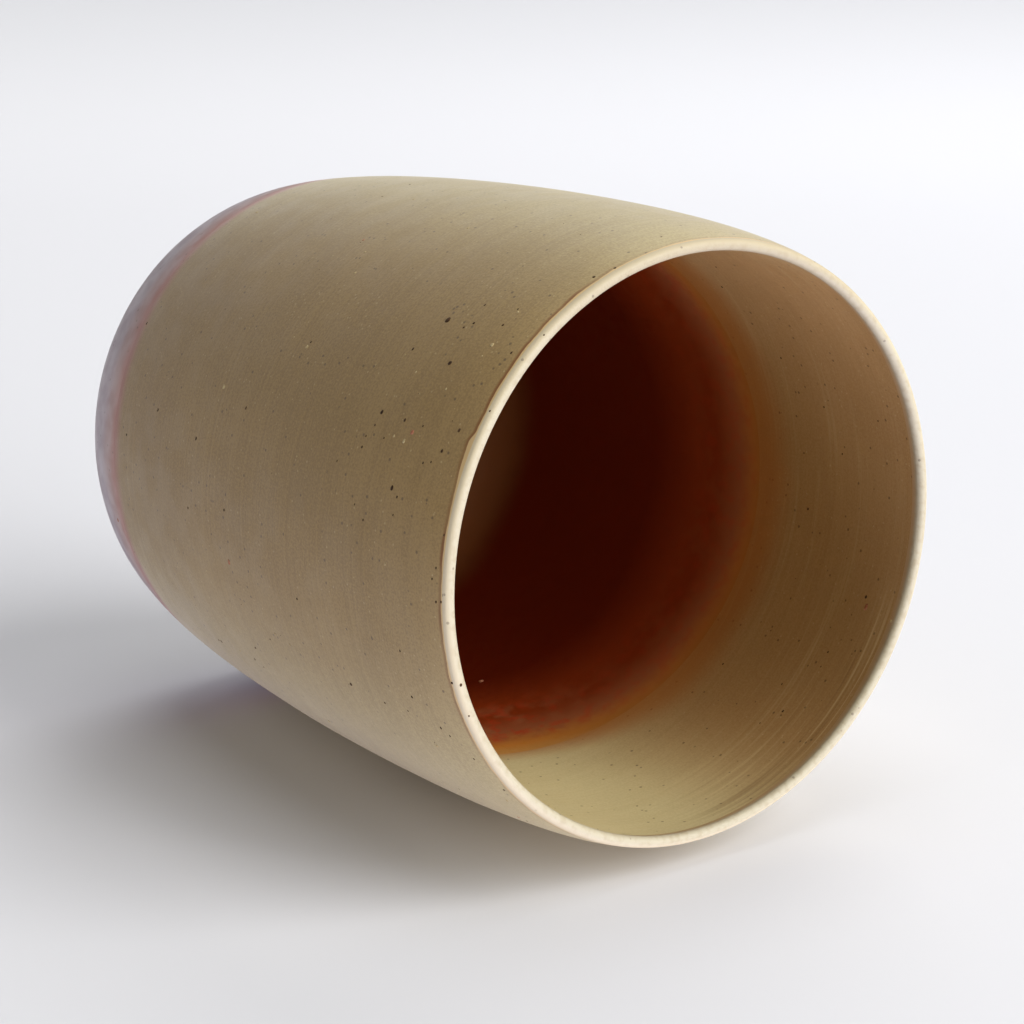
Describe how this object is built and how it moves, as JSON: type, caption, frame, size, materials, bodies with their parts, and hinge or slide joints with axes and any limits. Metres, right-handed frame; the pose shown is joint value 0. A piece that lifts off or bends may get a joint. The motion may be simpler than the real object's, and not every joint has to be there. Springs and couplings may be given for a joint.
{
  "type": "cup",
  "caption": "Handle-less thrown stoneware beaker with a gentle barrel wall, bare rounded lip, matte engobe outside and glossy glaze lining, standing on a flat foot.",
  "frame": {"origin": "centre of the flat foot that the cup stands on", "axes": "+Z along the cup's axis, from the foot to the mouth; +X and +Y are free, and the inside glaze line is highest at 209 degrees from +X"},
  "size_m": [0.0826, 0.0826, 0.102],
  "materials": {
    "bare_clay": "smooth bare cream stoneware",
    "outer_engobe": "matte tan engobe with dark and pale specks",
    "inner_engobe": "matte tan engobe with fine turning lines",
    "liner_glaze": "glossy oxblood-brown glaze",
    "foot_glaze": "satin grey-lavender glaze with a red upper edge"
  },
  "bodies": {
    "root": {"clay_body": "bare_clay", "outer_engobe": "outer_engobe", "inner_engobe": "inner_engobe", "liner_glaze": "liner_glaze", "foot_glaze": "foot_glaze"}
  },
  "joints": []
}
